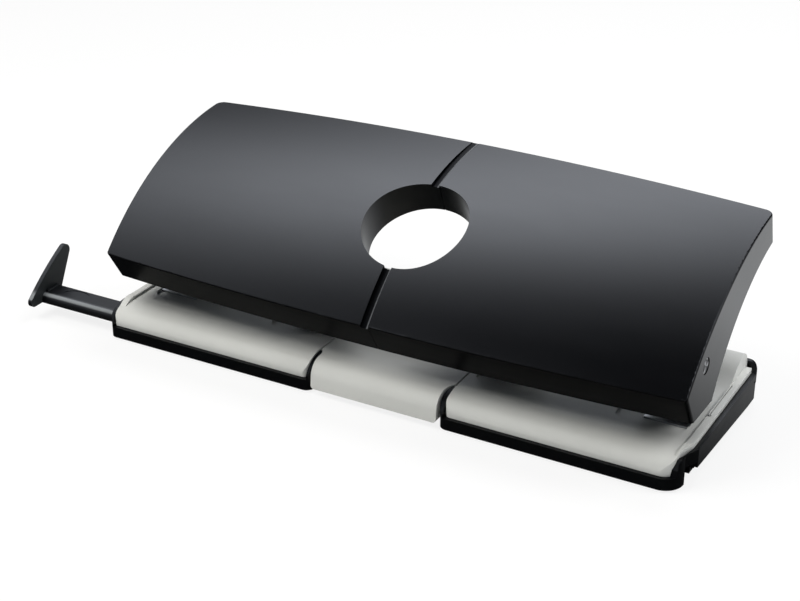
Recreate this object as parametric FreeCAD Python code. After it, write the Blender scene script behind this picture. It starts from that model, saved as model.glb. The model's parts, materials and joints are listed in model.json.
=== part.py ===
import FreeCAD, Part
import math
import os

V = FreeCAD.Vector

# Whole object: X runs along its length, Y from the paper side to the back, Z up
# Pieces are set out from a point on the table under the middle of the base
MODULE_OUTER_X = 134.3      # outer side of each base half
BASE_FRONT_Y = -43.5
BASE_BACK_Y = 43.0
BASE_BOTTOM_Z = 1.0         # the rubber feet lift the base by this much

# Base frame, black plastic, one in each half
FRAME_WALL = 2.1
FRAME_FLOOR = 1.2
FRONT_WALL_TOP_Z = 6.0
RIM_TOP_Z = 14.4
RIM_HEIGHT = 4.1            # rim above the drawer's outer wall
BACK_RIM_Z = 17.9           # the rim is higher along the back wall
BACK_RIM_CORNER = 4.3
RIM_GROOVE_HEIGHT = 1.3     # groove along the rim, above the drawer's outer wall
RIM_GROOVE_DEPTH = 0.5
FRAME_CORNER = 5.5
FRONT_CORNER = {1: 8.0, -1: 3.5}                # outer front corner, right and left half
FRONT_SIDE_X = {1: 131.2, -1: MODULE_OUTER_X}   # the right half is narrower in front
WAIST_Y = -29.5             # and has widened to the full width here
FRAME_INNER_CORNER = 4.0
PARTITION_Y = -26.4         # wall between the guide rail and the drawer
PARTITION_WALL = 1.4
NOTCH_WIDTH = 8.5           # finger notch beside the drawer's outer wall
NOTCH_DEPTH = 10.0
NOTCH_TOP_Z = 8.7
NOTCH_FRONT_Y = {1: -35.3, -1: -24.6}
LEDGE_WIDTH = 2.2           # ledge under the deck's outer edge

# Paper deck, light grey plastic, one on each half
SKIN = 1.8
DECK_Z = 15.0
DECK_GAP = 0.1              # between deck and rim
DECK_INNER_CORNER = 2.6
SEAT_GAP = 0.2              # between frame and deck, seen from the end
DECK_BOTTOM_Z = 12.7
FRONT_SETBACK = 1.5         # from the frame's front to the deck's
ROLL_RADIUS = 6.0           # front roll of the deck
EASE_RADIUS = 17.7          # slack curve between the roll and the flat
EASE_ANGLE = 25.0
DECK_BACK_Y = 40.8
RAMP_START_Y = 12.0
RAMP_END_Y = 37.0
RIDGE_Z = 22.4
BORDER_WIDTH = 3.0
BORDER_HEIGHT = 1.2
RAMP_SIDE_FRONT_X = 129.2   # the ramp's outer end starts upright here
RAMP_SIDE_BACK_X = 129.4    # and out to here at the back, where it leans in by the slope
RAMP_SIDE_SLOPE = 9.0
DISH_DEPTH = 1.4
DISH_PAD = 1.0              # the pad under a dish ends this far below the deck's surface
DISH_PAD_EDGE = 1.5
DISH_LENGTH = 29.0
DISH_FRONT_Y = -22.8
DISH_BACK_Y = 5.6
DISH_CORNER = 4.5
DISH_OVERHANG = 5.0         # dish reaches this far past the hole on the near side
SLIT_LENGTH = 27.0
SLIT_WIDTH = 0.5
SLIT_DEPTH = 0.9
SLIT_START_Y = -6.5

# Centre bridge, light grey plastic
BRIDGE_HALF = 31.5
BRIDGE_NUB = 0.5            # in front of this small step it is narrower
BRIDGE_NUB_Y = -30.8
BRIDGE_FLARE = 1.6          # and curves in further
BRIDGE_FLARE_Y = -36.5      # up to here
BRIDGE_GAP = 0.4            # between bridge and frame
BRIDGE_LAP = 0.7            # the bridge's edge lies over the frame's inner wall
BRIDGE_TO_RIM = 0.5
BRIDGE_FRONT_Y = -43.8
BRIDGE_LEAN = 0.4           # the front wall leans back by this much up to the roll
BRIDGE_ROLL = 7.0
BRIDGE_CORNER = 1.5
BRIDGE_BOTTOM_Z = 3.0

# Steel base plate
PLATE_Z = 11.0
PLATE_THICK = 1.5
PLATE_END_X = 129.0
PLATE_FRONT_Y = -26.2
PLATE_BACK_Y = 40.4
CHIP_HOLE_R = 4.0

# Punching stations
HOLE_SPACING = 80.0         # between neighbouring holes
HOLE_Y = -6.0
HOLE_EDGE = 12.0            # from hole centre to the paper's edge
PIN_R = 2.75
PIN_CLEAR = 0.05
SHEET = 1.8                 # bracket sheet metal
THROAT_HEIGHT = 5.2
JAW_TOP_Z = PLATE_Z + PLATE_THICK + SHEET
GUIDE_Z = JAW_TOP_Z + THROAT_HEIGHT
UPPER_LEAF_Z = 31.5
BRACKET_TOP_Z = 38.0
BRACKET_NEAR = 6.3          # bracket reaches this far past the hole towards its near cheek
BRACKET_FAR = 15.7
JAW_NEAR_INSET = 1.2        # lower jaw is narrower than the bracket
JAW_FAR_INSET = 2.3
LEAF_FRONT_Y = -13.0
JAW_FRONT_Y = -16.0
EAR_R = 5.5
RIVET_R = 1.5
RIVET_HEAD_R = 2.3
RIVET_HEAD = 0.8

# Pivot of the handle
PIVOT_Y = -24.5
PIVOT_Z = 47.3
AXLE_R = 2.5
AXLE_CLEAR = 0.06
RING_R = 3.1
RING_THICK = 0.6
RECESS_R = 3.4
RECESS_DEPTH = 1.0

# Presser rod that pushes the pins, set out from the pivot
PRESS_REACH = 19.0
PRESS_ANGLE = 12.0          # above level at rest, as far below when pressed
ROD_R = 2.4
PRESS_GAP = 0.1

# Punch pin and its return spring
PIN_TIP_Z = GUIDE_Z + 0.3
FLANGE_R = 4.0
FLANGE_THICK = 1.2
HEAD_HEIGHT = 1.8
WIRE_R = 0.4
COIL_R = 3.45
COIL_TURNS = 5
COIL_SEAT = 0.02

# Handle: its section is laid out along a chord (t) and square to it (n)
HANDLE_REACH = 12.5         # from the outer hole to the handle's end
HANDLE_HALF = 1.5 * HOLE_SPACING + HANDLE_REACH
CREASE_Y = -43.5
CREASE_Z = 41.5
CHORD_ANGLE = 25.0
CHORD = 98.7
CROWN = 11.4
CROWN_DROP = 1.8            # the crown is flatter by this much at both ends
BOW_FRONT = 3.3
BOW_BACK = 5.2
FRONT_FACE_T = 1.9
FRONT_FACE_N = -16.1
BACK_FACE_T = -1.6
BACK_FACE_N = -14.0
HEEL_T = 20.8
HEEL_N = -25.4
HOLLOW_T = 52.9
HOLLOW_N = -12.0
SHELL_WALL = 2.8
END_WALL = 2.4
HANDLE_SECTIONS = 5
FINGER_R = 22.7
FINGER_T = 44.7
COLLAR_WALL = 2.2
COLLAR_BOTTOM_N = -4.5
SEAM_WIDTH = 3.6
SEAM_DEPTH = 1.6
SEAM_BACK_DEPTH = 0.4       # the recess runs out towards the back edge
SEAM_GAP = 0.3

# Steel lever plate in the handle
LEVER_THICK = 1.5
LEVER_TOP_N = -3.0
LEVER_FRONT_T = 27.0
LEVER_BACK_T = 92.0
LEVER_END_GAP = 0.5         # between the plate and the shell's end wall
EAR_THICK = 1.5
EAR_GAP = 0.3
LEVER_EAR_R = 4.8
ROD_EAR_R = 4.0
BOSS_R = 3.2
PILLAR_R = 2.9
SCREW_R = 1.45
SCREW_HEAD_R = 2.7
SCREW_HEAD = 1.7

# Chip drawer
DRAWER_WALL = 1.5
DRAWER_FLOOR_Z = 2.5
DRAWER_TOP_Z = 10.0
DRAWER_INSET = 5.4          # from the half's inner side to the tray
TRAY_STEP_X = 6.2           # the tray leaves its inner front corner to a pillar
TRAY_STEP_Y = 8.2
DRAWER_BACK_Y = 33.8
DRAWER_CLEAR = 0.4
FRONT_PLATE_IN_X = 130.7
FRONT_PLATE_OUT_X = 133.3
FRONT_PLATE_LOW_Z = 1.0
FRONT_PLATE_RISE = 3.5

# Paper guide rail in the left half
RAIL_FRONT_Y = -39.9
RAIL_BACK_Y = -29.0
RAIL_BOTTOM_Z = 6.0
RAIL_TOP_Z = 10.6
RAIL_ROUND = 3.2
RAIL_CLEAR = 0.2
RAIL_PLAY = 0.1             # over the ribs that the rail slides on
RAIL_RIBS_X = (45.0, 68.0, 95.0, 120.0)
RAIL_KEEPERS_X = (60.0, 90.0, 118.0)
RIB_THICK = 2.0
RAIL_END_X = -73.0
STOP_X = -175.0
STOP_THICK = 2.0
FOLD_R = 0.7                # ridge where the bar meets the stop
MARK_X = -160.0             # sunk oval in the bar, left bare
MARK_RADII = (6.5, 3.6)
MARK_DEPTH = 0.25

# Rubber feet
FOOT_R = 4.5
FOOT_SINK = 0.6

OVER = 1.0                  # how far a cutting body runs past the face it cuts
MERGE = 0.1                 # how deep a rib or pillar runs into the wall it grows from


# Small builders

def box(x0, x1, y0, y1, z0, z1):
    return Part.makeBox(x1 - x0, y1 - y0, z1 - z0, V(x0, y0, z0))


def rod(r, start, end):
    axis = end - start
    return Part.makeCylinder(r, axis.Length, start, axis)


def path_edges(start, moves, place):
    """Edges through the moves: a move of one point is a line, of two points an arc."""
    edges = []
    here = place(*start)
    for move in moves:
        end = place(*move[-1])
        if len(move) == 2:
            edges.append(Part.Arc(here, place(*move[0]), end).toShape())
        else:
            edges.append(Part.LineSegment(here, end).toShape())
        here = end
    if here.distanceToPoint(place(*start)) > 1e-6:
        edges.append(Part.LineSegment(here, place(*start)).toShape())
    return edges


def prism_x(x0, x1, start, moves):
    """A closed outline in Y and Z, drawn out along X."""
    wire = Part.Wire(path_edges(start, moves, lambda y, z: V(x0, y, z)))
    return Part.Face(wire).extrude(V(x1 - x0, 0, 0))


def prism_y(y0, y1, start, moves):
    """A closed outline in X and Z, drawn out along Y."""
    wire = Part.Wire(path_edges(start, moves, lambda x, z: V(x, y0, z)))
    return Part.Face(wire).extrude(V(0, y1 - y0, 0))


def prism_z(z0, z1, start, moves):
    """A closed outline in X and Y, drawn up along Z."""
    wire = Part.Wire(path_edges(start, moves, lambda x, y: V(x, y, z0)))
    return Part.Face(wire).extrude(V(0, 0, z1 - z0))


def rounded_plan(x0, x1, y0, y1, z0, z1, r00, r10, r11, r01):
    """A box with its upright corners rounded, from the low corner counter-clockwise."""
    k = 1 - math.sqrt(0.5)
    start = (x0 + r00, y0)
    moves = [((x1 - r10, y0),),
             ((x1 - k * r10, y0 + k * r10), (x1, y0 + r10)),
             ((x1, y1 - r11),),
             ((x1 - k * r11, y1 - k * r11), (x1 - r11, y1)),
             ((x0 + r01, y1),),
             ((x0 + k * r01, y1 - k * r01), (x0, y1 - r01)),
             ((x0, y0 + r00),),
             ((x0 + k * r00, y0 + k * r00), start)]
    return prism_z(z0, z1, start, moves)


def mirrored(shape):
    return shape.mirror(V(0, 0, 0), V(1, 0, 0))


def fused(shapes):
    body = shapes[0].multiFuse(shapes[1:]) if len(shapes) > 1 else shapes[0]
    return body.removeSplitter()


def cut(body, tools):
    return body.cut(tools) if tools else body


def round_edges(body, radius, wanted):
    edges = [e for e in body.Edges if wanted(e)]
    return body.makeFillet(radius, edges) if edges else body


def edge_mid(edge):
    return edge.valueAt((edge.FirstParameter + edge.LastParameter) / 2)


def save(name, shape):
    shape.exportStep("parts/%s.step" % name)
    kind = "solid" if len(shape.Solids) == 1 else "%d solids" % len(shape.Solids)
    print("%-22s %9.1f mm3  %s  valid %s" % (name, shape.Volume, kind, shape.isValid()))


# Places that several pieces share

def hole_places():
    """Centre of each hole along X, and which way its bracket reaches."""
    near = HOLE_SPACING / 2
    far = near + HOLE_SPACING
    return {"1": (-far, 1), "2": (-near, -1), "3": (near, 1), "4": (far, -1)}


def half_holes():
    """The two holes of the right half."""
    return [place for place in hole_places().values() if place[0] > 0]


def bracket_span(hole_x, way):
    """Both outer faces of a bracket along X."""
    ends = (hole_x - way * BRACKET_NEAR, hole_x + way * BRACKET_FAR)
    return min(ends), max(ends)


def jaw_span(hole_x, way):
    """Both sides of a lower jaw, which is narrower than its bracket."""
    ends = (hole_x - way * (BRACKET_NEAR - JAW_NEAR_INSET), hole_x + way * (BRACKET_FAR - JAW_FAR_INSET))
    return min(ends), max(ends)


def stop_y():
    """Front face of each bracket's rear wall, which stops the paper."""
    return HOLE_Y + HOLE_EDGE


def press_centre():
    angle = math.radians(PRESS_ANGLE)
    return PIVOT_Y + PRESS_REACH * math.cos(angle), PIVOT_Z + PRESS_REACH * math.sin(angle)


def pin_top_z():
    return press_centre()[1] - ROD_R - PRESS_GAP


def flange_z():
    return pin_top_z() - HEAD_HEIGHT - FLANGE_THICK


def deck_screws():
    """Screws through the base plate into the bosses of decks and bridge."""
    return [(-110.0, 31.0), (-55.0, 31.0), (-14.0, 31.0), (14.0, 31.0), (55.0, 31.0), (110.0, 31.0)]


# Handle geometry: a point at t along the chord and n square to it

def chord_place(t, n, x=0.0):
    a = math.radians(CHORD_ANGLE)
    y = CREASE_Y + t * math.cos(a) - n * math.sin(a)
    z = CREASE_Z + t * math.sin(a) + n * math.cos(a)
    return V(x, y, z)


def chord_normal():
    a = math.radians(CHORD_ANGLE)
    return V(0, -math.sin(a), math.cos(a))


def handle_edges_at(x):
    """Front and back edge of the handle along the chord, bowed towards the middle."""
    swell = 1 - (x / HANDLE_HALF) ** 2
    return -BOW_FRONT * swell, CHORD + BOW_BACK * swell


def crown_circle(x):
    front, back = handle_edges_at(x)
    half = (back - front) / 2
    rise = CROWN - CROWN_DROP * (x / HANDLE_HALF) ** 2
    radius = (half ** 2 + rise ** 2) / (2 * rise)
    return front + half, rise - radius, radius


def handle_section(x):
    front, back = handle_edges_at(x)
    tc, nc, radius = crown_circle(x)
    moves = [((tc, nc + radius), (back, 0.0)),
             ((back + BACK_FACE_T, BACK_FACE_N),),
             ((HOLLOW_T, HOLLOW_N), (front + HEEL_T, HEEL_N)),
             ((front + FRONT_FACE_T, FRONT_FACE_N),)]
    edges = path_edges((front, 0.0), moves, lambda t, n: chord_place(t, n, x))
    return Part.Wire(edges)


def inner_section(x, wall, low_n):
    """The handle's hollow: it follows the crown at a wall's distance and opens below."""
    front, back = handle_edges_at(x)
    tc, nc, radius = crown_circle(x)
    inner = radius - wall
    t0 = front + wall
    t1 = back - wall
    n0 = nc + math.sqrt(inner ** 2 - (t0 - tc) ** 2)
    n1 = nc + math.sqrt(inner ** 2 - (t1 - tc) ** 2)
    lean0 = FRONT_FACE_T / FRONT_FACE_N
    lean1 = BACK_FACE_T / BACK_FACE_N
    moves = [((tc, nc + inner), (t1, n1)),
             ((t1 + lean1 * (low_n - n1), low_n),),
             ((t0 + lean0 * (low_n - n0), low_n),)]
    return Part.Wire(path_edges((t0, n0), moves, lambda t, n: chord_place(t, n, x)))


def section_places(x0, x1):
    return [x0 + (x1 - x0) * i / (HANDLE_SECTIONS - 1) for i in range(HANDLE_SECTIONS)]


def handle_outer(x0, x1):
    return Part.makeLoft([handle_section(x) for x in section_places(x0, x1)], True)


def handle_hollow(x0, x1):
    low = HEEL_N - 8
    return Part.makeLoft([inner_section(x, SHELL_WALL, low) for x in section_places(x0, x1)], True)


def shell_screw_places():
    """Screws that hold a shell half on the lever plate: along X, and along the chord."""
    return [(62.0, 82.0), (112.0, 82.0), (80.0, 52.0)]


def handle_shell(side):
    """One half of the handle's plastic shell, open below, with its half of the collar."""
    start = 0.0 if side > 0 else SEAM_GAP
    outer = handle_outer(start, HANDLE_HALF)
    outer = round_edges(outer, 4.0, lambda e: corner_edge(e, True))
    outer = round_edges(outer, 1.5, lambda e: corner_edge(e, False))
    outer = round_edges(outer, 0.8, crown_edge)
    hollow = handle_hollow(start - OVER, HANDLE_HALF - END_WALL)
    shell = outer.cut(hollow)
    axis = chord_normal()
    foot = chord_place(FINGER_T, COLLAR_BOTTOM_N)
    collar = Part.makeCylinder(FINGER_R + COLLAR_WALL, 30, foot, axis).common(outer)
    shell = fused([shell, collar])
    bosses = []
    drills = []
    for x, t in shell_screw_places():
        base = chord_place(t, LEVER_TOP_N, x)
        bosses.append(Part.makeCylinder(BOSS_R, 30, base, axis).common(outer))
        drills.append(Part.makeCylinder(SCREW_R + 0.05, 7.0, base - axis * OVER, axis))
    shell = fused([shell] + bosses)
    finger = Part.makeCylinder(FINGER_R, 60, chord_place(FINGER_T, COLLAR_BOTTOM_N - 20), axis)
    pivot = V(0, PIVOT_Y, PIVOT_Z)
    bore = rod(AXLE_R + 0.02, pivot + V(HANDLE_HALF - 20, 0, 0), pivot + V(HANDLE_HALF + OVER, 0, 0))
    recess = rod(RECESS_R, pivot + V(HANDLE_HALF - RECESS_DEPTH, 0, 0),
                 pivot + V(HANDLE_HALF + OVER, 0, 0))
    shell = cut(shell, drills + [finger, bore, recess])
    if side < 0:
        shell = shell.cut(seam_channel())
        shell = mirrored(shell)
    return shell


def corner_edge(edge, at_back):
    """Edges where the end wall meets the back face, or the front face."""
    mid = edge_mid(edge)
    front, back = handle_edges_at(HANDLE_HALF)
    t = back + BACK_FACE_T / 2 if at_back else front + FRONT_FACE_T / 2
    n = BACK_FACE_N / 2 if at_back else FRONT_FACE_N / 2
    return mid.distanceToPoint(chord_place(t, n, HANDLE_HALF)) < 1.5


def crown_edge(edge):
    """The crown's border: front crease, back edge and end edge."""
    mid = edge_mid(edge)
    relative = mid - chord_place(0, 0, mid.x)
    n = relative.dot(chord_normal())
    if n < -0.6:
        return False
    if abs(mid.x - HANDLE_HALF) < 0.01:
        return n > 3
    return abs(n) < 0.6 and mid.x > SEAM_WIDTH


def seam_channel():
    """The recess along the seam, cut in the left half; it runs out towards the back edge."""
    tc, nc, radius = crown_circle(0)
    front, back = handle_edges_at(0)
    reach = tc - front + 3
    front_n = nc + math.sqrt(radius ** 2 - reach ** 2) - SEAM_DEPTH
    back_n = -SEAM_BACK_DEPTH
    moves = [((tc, nc + radius - SEAM_DEPTH), (back, back_n)),
             ((back + 3, back_n),),
             ((back + 3, nc + radius + 5),),
             ((tc - reach, nc + radius + 5),)]
    wire = Part.Wire(path_edges((tc - reach, front_n), moves, lambda t, n: chord_place(t, n, -OVER)))
    return Part.Face(wire).extrude(V(SEAM_WIDTH + OVER, 0, 0))


# Steel parts of the handle

def lever_ears():
    """Both faces of each ear along X, beside the brackets of the right half."""
    spans = []
    for hole_x, way in half_holes():
        low, high = bracket_span(hole_x, way)
        spans.append((low - EAR_GAP - EAR_THICK, low - EAR_GAP))
        spans.append((high + EAR_GAP, high + EAR_GAP + EAR_THICK))
    return spans


def lever_end_x():
    return HANDLE_HALF - END_WALL - LEVER_END_GAP


def lever_plate():
    corner = chord_place(LEVER_FRONT_T, LEVER_TOP_N - LEVER_THICK, -lever_end_x())
    plate = Part.makeBox(2 * lever_end_x(), LEVER_BACK_T - LEVER_FRONT_T, LEVER_THICK)
    plate.rotate(V(0, 0, 0), V(1, 0, 0), CHORD_ANGLE)
    plate.translate(corner)
    rod_y, rod_z = press_centre()
    bodies = [plate]
    for low, high in lever_ears():
        for x0 in (low, -high):
            bodies.append(lever_ear(x0, rod_y, rod_z))
    body = fused(bodies)
    drills = [Part.makeCylinder(FINGER_R + COLLAR_WALL + EAR_GAP, 40,
                                chord_place(FINGER_T, -20), chord_normal())]
    for x, t in shell_screw_places():
        for sign in (1, -1):
            drills.append(Part.makeCylinder(SCREW_R + 0.1, 10, chord_place(t, -8, sign * x),
                                            chord_normal()))
    for y, z, r in ((PIVOT_Y, PIVOT_Z, AXLE_R + 0.02), (rod_y, rod_z, ROD_R + 0.02)):
        drills.append(rod(r, V(-HANDLE_HALF, y, z), V(HANDLE_HALF, y, z)))
    return body.cut(drills)


def lever_ear(x0, rod_y, rod_z):
    """An ear from the plate down to the axle and the presser rod."""
    a = math.radians(CHORD_ANGLE)
    top = chord_place(LEVER_FRONT_T + 2, LEVER_TOP_N)
    back = chord_place(LEVER_FRONT_T + 22, LEVER_TOP_N)
    low = chord_place(LEVER_FRONT_T + 22, LEVER_TOP_N - LEVER_THICK)
    outline = [(PIVOT_Y - LEVER_EAR_R * math.sin(a), PIVOT_Z + LEVER_EAR_R * math.cos(a)),
               (top.y, top.z + 1.0), (back.y, back.z), (low.y, low.z),
               (rod_y + ROD_EAR_R * math.sin(a), rod_z - ROD_EAR_R * math.cos(a)),
               (PIVOT_Y, PIVOT_Z - LEVER_EAR_R)]
    web = prism_x(x0, x0 + EAR_THICK, outline[0], [(p,) for p in outline[1:]])
    eyes = [rod(r, V(x0, y, z), V(x0 + EAR_THICK, y, z))
            for y, z, r in ((PIVOT_Y, PIVOT_Z, LEVER_EAR_R), (rod_y, rod_z, ROD_EAR_R))]
    return fused([web] + eyes)


def presser_rod():
    y, z = press_centre()
    low, high = lever_ears()[0][0], lever_ears()[-1][1]
    return rod(ROD_R, V(low - 0.8, y, z), V(high + 0.8, y, z))


def axle():
    low = lever_ears()[0][0] - 1.6
    return rod(AXLE_R, V(low, PIVOT_Y, PIVOT_Z), V(HANDLE_HALF - 0.2, PIVOT_Y, PIVOT_Z))


def lock_rings():
    low = lever_ears()[0][0] - RING_THICK - 0.1
    rings = []
    for x in (low, HANDLE_HALF - RECESS_DEPTH + 0.05):
        ring = rod(RING_R, V(x, PIVOT_Y, PIVOT_Z), V(x + RING_THICK, PIVOT_Y, PIVOT_Z))
        bore = rod(AXLE_R + 0.02, V(x - 1, PIVOT_Y, PIVOT_Z), V(x + 2, PIVOT_Y, PIVOT_Z))
        ring = ring.cut(bore)
        rings += [ring, mirrored(ring)]
    return Part.Compound(rings)


def shell_screws():
    screws = []
    axis = chord_normal()
    for x, t in shell_screw_places():
        for sign in (1, -1):
            seat = chord_place(t, LEVER_TOP_N - LEVER_THICK, sign * x)
            head = Part.makeCylinder(SCREW_HEAD_R, SCREW_HEAD, seat - axis * SCREW_HEAD, axis)
            shank = Part.makeCylinder(SCREW_R, 5.5 + LEVER_THICK, seat, axis)
            screws.append(fused([head, shank]))
    return Part.Compound(screws)


# Punching stations

def bracket(hole_x, way):
    """A pressed steel bracket: lower jaw with the die hole, rear wall, two leaves, two cheeks."""
    low, high = bracket_span(hole_x, way)
    jaw_low, jaw_high = jaw_span(hole_x, way)
    back = stop_y() + SHEET
    plate_top = PLATE_Z + PLATE_THICK
    jaw = box(jaw_low, jaw_high, JAW_FRONT_Y, back, plate_top, JAW_TOP_Z)
    neck = box(jaw_low, jaw_high, stop_y(), back, plate_top, GUIDE_Z + SHEET)
    wall = box(low, high, stop_y(), back, GUIDE_Z, BRACKET_TOP_Z)
    leaves = [box(low, high, LEAF_FRONT_Y, back, z, z + SHEET) for z in (GUIDE_Z, UPPER_LEAF_Z)]
    cheeks = [bracket_cheek(low), bracket_cheek(high - SHEET)]
    body = fused([jaw, neck, wall] + leaves + cheeks)
    bores = [rod(PIN_R + PIN_CLEAR, V(hole_x, HOLE_Y, plate_top - OVER), V(hole_x, HOLE_Y, 60)),
             rod(AXLE_R + AXLE_CLEAR, V(low - OVER, PIVOT_Y, PIVOT_Z), V(high + OVER, PIVOT_Y, PIVOT_Z))]
    for x, y in rivet_places(hole_x, way):
        bores.append(rivet(x, y, 0.02))
    return body.cut(bores)


def bracket_cheek(x0):
    """A cheek that reaches forward over the throat to carry the axle."""
    back = stop_y() + SHEET
    start = (back, GUIDE_Z)
    moves = [((back, BRACKET_TOP_Z),),
             ((LEAF_FRONT_Y, BRACKET_TOP_Z),),
             ((PIVOT_Y + EAR_R, BRACKET_TOP_Z + 3.5),),
             ((PIVOT_Y + EAR_R, PIVOT_Z),),
             ((PIVOT_Y, PIVOT_Z + EAR_R), (PIVOT_Y - EAR_R, PIVOT_Z)),
             ((PIVOT_Y - EAR_R, PIVOT_Z - 3.0),),
             ((LEAF_FRONT_Y, GUIDE_Z),)]
    return prism_x(x0, x0 + SHEET, start, moves)


def rivet_places(hole_x, way):
    x = hole_x + way * (PIN_R + 7.0)
    return [(x, JAW_FRONT_Y + 4.0), (x, stop_y() - 4.0)]


def rivet(x, y, grow=0.0):
    """A rivet through base plate and jaw, with its heads sunk flush."""
    low = PLATE_Z
    high = JAW_TOP_Z
    shank = rod(RIVET_R + grow, V(x, y, low), V(x, y, high))
    foot = Part.makeCone(RIVET_HEAD_R + grow, RIVET_R + grow, RIVET_HEAD, V(x, y, low))
    head = Part.makeCone(RIVET_R + grow, RIVET_HEAD_R + grow, RIVET_HEAD, V(x, y, high - RIVET_HEAD))
    return fused([shank, foot, head])


def rivets():
    return Part.Compound([rivet(x, y) for hole in hole_places().values()
                          for x, y in rivet_places(*hole)])


def punch_pin(hole_x):
    """A pin with a hollow-ground tip, a flange for its spring and a domed head."""
    top = pin_top_z()
    shaft = rod(PIN_R, V(hole_x, HOLE_Y, PIN_TIP_Z), V(hole_x, HOLE_Y, top))
    flange = rod(FLANGE_R, V(hole_x, HOLE_Y, flange_z()), V(hole_x, HOLE_Y, flange_z() + FLANGE_THICK))
    pin = fused([shaft, flange])
    pin = round_edges(pin, 0.8, lambda e: abs(edge_mid(e).z - top) < 0.01)
    grind = rod(8.0, V(hole_x - 10, HOLE_Y, PIN_TIP_Z - 7.4), V(hole_x + 10, HOLE_Y, PIN_TIP_Z - 7.4))
    return pin.cut(grind)


def biarc(p0, t0, p1, t1):
    """Two arcs from p0 to p1 that leave along t0 and arrive along t1."""
    chord = p1 - p0
    both = chord.dot(t0 + t1)
    spread = 2 * (1 - t0.dot(t1))
    reach = (-both + math.sqrt(both ** 2 + spread * chord.dot(chord))) / spread
    q0 = p0 + t0 * reach
    q1 = p1 - t1 * reach
    joint = (q0 + q1) * 0.5
    return [tangent_arc(p0, q0, joint), tangent_arc(joint, q1, p1)]


def tangent_arc(start, corner, end):
    a = (corner - start).normalize()
    b = (end - corner).normalize()
    weight = math.sqrt((1 + a.dot(b)) / 2)
    mid = (start + corner * (2 * weight) + end) * (0.5 / (1 + weight))
    return Part.Arc(start, mid, end).toShape()


def coil_point(hole_x, low, rise, turn):
    angle = 2 * math.pi * turn
    point = V(hole_x + COIL_R * math.cos(angle), HOLE_Y + COIL_R * math.sin(angle), low + rise * turn)
    tangent = V(-COIL_R * math.sin(angle), COIL_R * math.cos(angle), rise / (2 * math.pi))
    return point, tangent.normalize()


def coil_spring(hole_x):
    """One unbroken wire from the upper leaf to the pin's flange."""
    low = UPPER_LEAF_Z + SHEET + WIRE_R + COIL_SEAT
    high = flange_z() - WIRE_R - COIL_SEAT
    rise = (high - low) / COIL_TURNS
    quarters = 4 * COIL_TURNS
    nodes = [coil_point(hole_x, low, rise, i / 4) for i in range(quarters + 1)]
    edges = []
    for (p0, t0), (p1, t1) in zip(nodes, nodes[1:]):
        edges += biarc(p0, t0, p1, t1)
    circle = Part.Circle(nodes[0][0], nodes[0][1], WIRE_R).toShape()
    return Part.Wire(edges).makePipeShell([Part.Wire([circle])], True, False)


def coil_gap():
    """Least gap between neighbouring turns, measured on points of the wire's centre line."""
    low = UPPER_LEAF_Z + SHEET + WIRE_R + COIL_SEAT
    high = flange_z() - WIRE_R - COIL_SEAT
    rise = (high - low) / COIL_TURNS
    points = [coil_point(0, low, rise, i / 48)[0] for i in range(48 * COIL_TURNS + 1)]
    least = min(points[i].distanceToPoint(points[j]) for i in range(len(points))
                for j in range(i + 24, len(points)))
    return least - 2 * WIRE_R


# Base

def bridge_neck():
    return BRIDGE_HALF - BRIDGE_NUB


def bridge_front_half():
    return bridge_neck() - BRIDGE_FLARE


def bridge_flare(gap):
    """The curve of the bridge's edge in front of its nub, moved outwards by the gap."""
    run = BRIDGE_NUB_Y - BRIDGE_FLARE_Y
    radius = (run ** 2 + BRIDGE_FLARE ** 2) / (2 * BRIDGE_FLARE)
    x = bridge_front_half() + gap
    mid = x + radius - math.sqrt(radius ** 2 - (run / 2) ** 2)
    return (x, BRIDGE_FLARE_Y), (mid, BRIDGE_FLARE_Y + run / 2), (x + BRIDGE_FLARE, BRIDGE_NUB_Y)


def inner_wall_x():
    """Inner side of each base half, under the bridge's edge."""
    return BRIDGE_HALF - BRIDGE_LAP


def inner_rim_x():
    """Where the rim beside the bridge ends and the deck's space begins."""
    return BRIDGE_HALF + BRIDGE_TO_RIM


def half_plan(side_x, front_side_x, front_y, back_y, inner_x, corners, z0, z1):
    """One half seen from above: narrower in front, with an inner and an outer corner at each end."""
    k = 1 - math.sqrt(0.5)
    inner, front, back = corners
    start = (inner_x + inner, front_y)
    moves = [((front_side_x - front, front_y),),
             ((front_side_x - k * front, front_y + k * front), (front_side_x, front_y + front)),
             ((side_x, WAIST_Y),),
             ((side_x, back_y - back),),
             ((side_x - k * back, back_y - k * back), (side_x - back, back_y)),
             ((inner_x + inner, back_y),),
             ((inner_x + k * inner, back_y - k * inner), (inner_x, back_y - inner)),
             ((inner_x, front_y + inner),),
             ((inner_x + k * inner, front_y + k * inner), start)]
    return prism_z(z0, z1, start, moves)


def rim_outline(low_z):
    """The frame seen from its end: low in front, then in two curves up beside the deck's roll."""
    start = (BASE_FRONT_Y, low_z)
    roll = [(BASE_FRONT_Y + 2.1, RIM_TOP_Z - 4.1), (BASE_FRONT_Y + 5.9, RIM_TOP_Z - 1.4),
            (BASE_FRONT_Y + 9.1, RIM_TOP_Z - 0.35), (BASE_FRONT_Y + 13.0, RIM_TOP_Z)]
    moves = [((BASE_FRONT_Y, FRONT_WALL_TOP_Z),),
             (roll[0], roll[1]),
             (roll[2], roll[3]),
             ((BASE_BACK_Y, RIM_TOP_Z),),
             ((BASE_BACK_Y, low_z),)]
    return start, moves


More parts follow.
